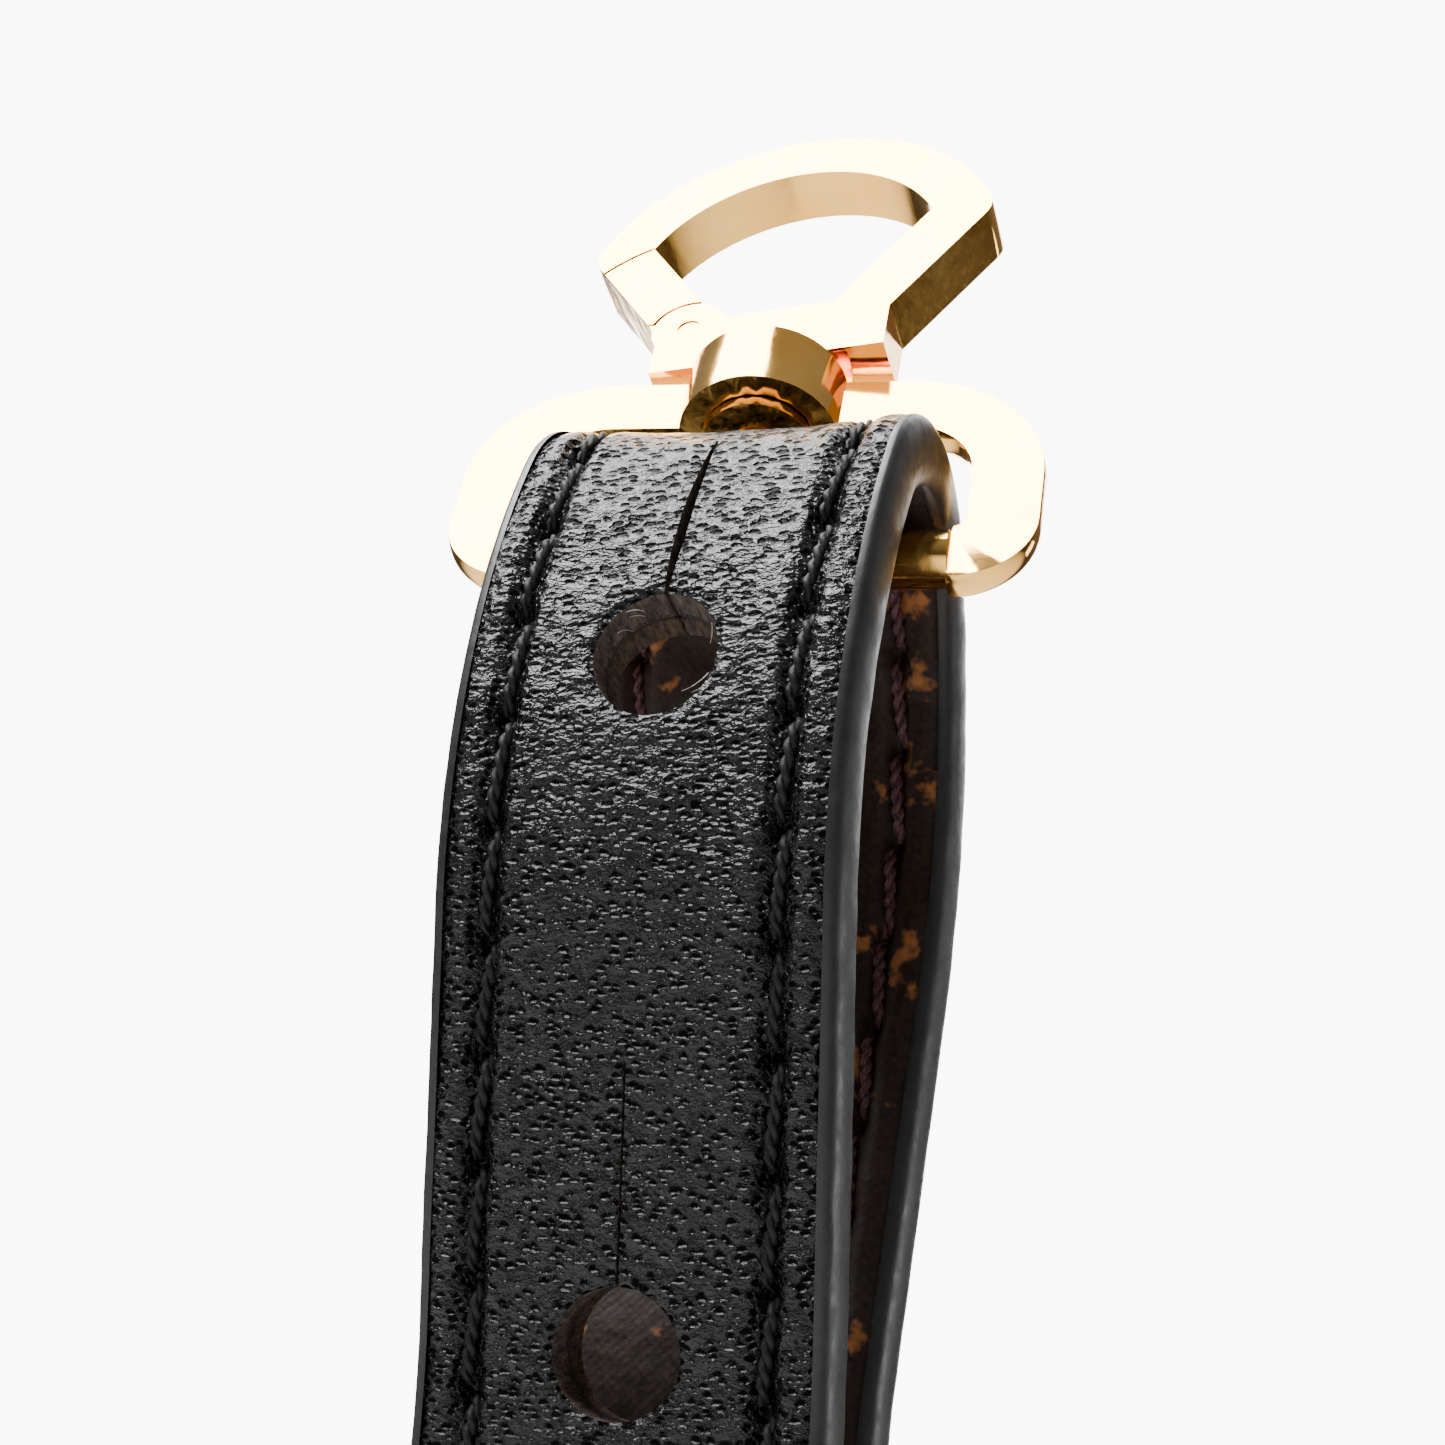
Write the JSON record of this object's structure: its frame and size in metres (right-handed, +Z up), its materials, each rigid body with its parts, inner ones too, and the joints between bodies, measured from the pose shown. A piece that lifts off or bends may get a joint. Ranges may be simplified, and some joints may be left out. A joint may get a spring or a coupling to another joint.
{
  "type": "wristlet keychain",
  "caption": "Folded leather wrist strap with stud closure, cast strap ring and swivel snap hook with a sprung gate.",
  "frame": {"origin": "centre of the bounding box's bottom, where the wrist loop's round bottom touches the ground", "axes": "+X across the strap to the wearer's right, +Y from the stud side to the back, +Z up along the strap to the hook"},
  "size_m": [0.0248, 0.039, 0.1564],
  "materials": {
    "black_leather": "satin pebbled",
    "core_board": "matt fibrous",
    "coated_canvas": "satin coated",
    "edge_paint": "satin gloss",
    "black_thread": "waxed twisted",
    "brown_thread": "waxed twisted",
    "gold": "polished plated",
    "spring_steel": "satin"
  },
  "bodies": {
    "strap": {"strap_leather": "black_leather", "strap_core": "core_board", "strap_lining": "coated_canvas", "edge_paint_left": "edge_paint", "edge_paint_right": "edge_paint", "face_stitching_left": "black_thread", "face_stitching_right": "black_thread", "lining_stitching_left": "brown_thread", "lining_stitching_right": "brown_thread", "closure_stud": "gold", "stud_screw": "gold"},
    "ring": {"strap_ring": "gold"},
    "hook": {"swivel_rivet": "gold", "swivel_washer": "gold", "hook_body": "gold", "gate_pin": "gold", "gate_spring": "spring_steel"},
    "gate": {"gate": "gold"}
  },
  "joints": [
    {"name": "ring_tilt", "type": "hinge", "parent": "strap", "child": "ring", "pos_m": [0.0003, -0.00162, 0.13084], "axis": [0.9899, 0.1391, 0.0262], "range_deg": [-54, 108]},
    {"name": "hook_swivel", "type": "hinge", "parent": "ring", "child": "hook", "pos_m": [-0.00048, 0.00238, 0.1392], "axis": [-0.0843, 0.4308, 0.8985], "continuous": true},
    {"name": "gate_hinge", "type": "hinge", "parent": "hook", "child": "gate", "pos_m": [-0.00481, 0.00457, 0.14353], "axis": [0.0252, 0.9023, -0.4303], "range_deg": [0, 28], "stiffness_Nm_per_rad": 0.02, "springref_deg": -11.46}
  ]
}
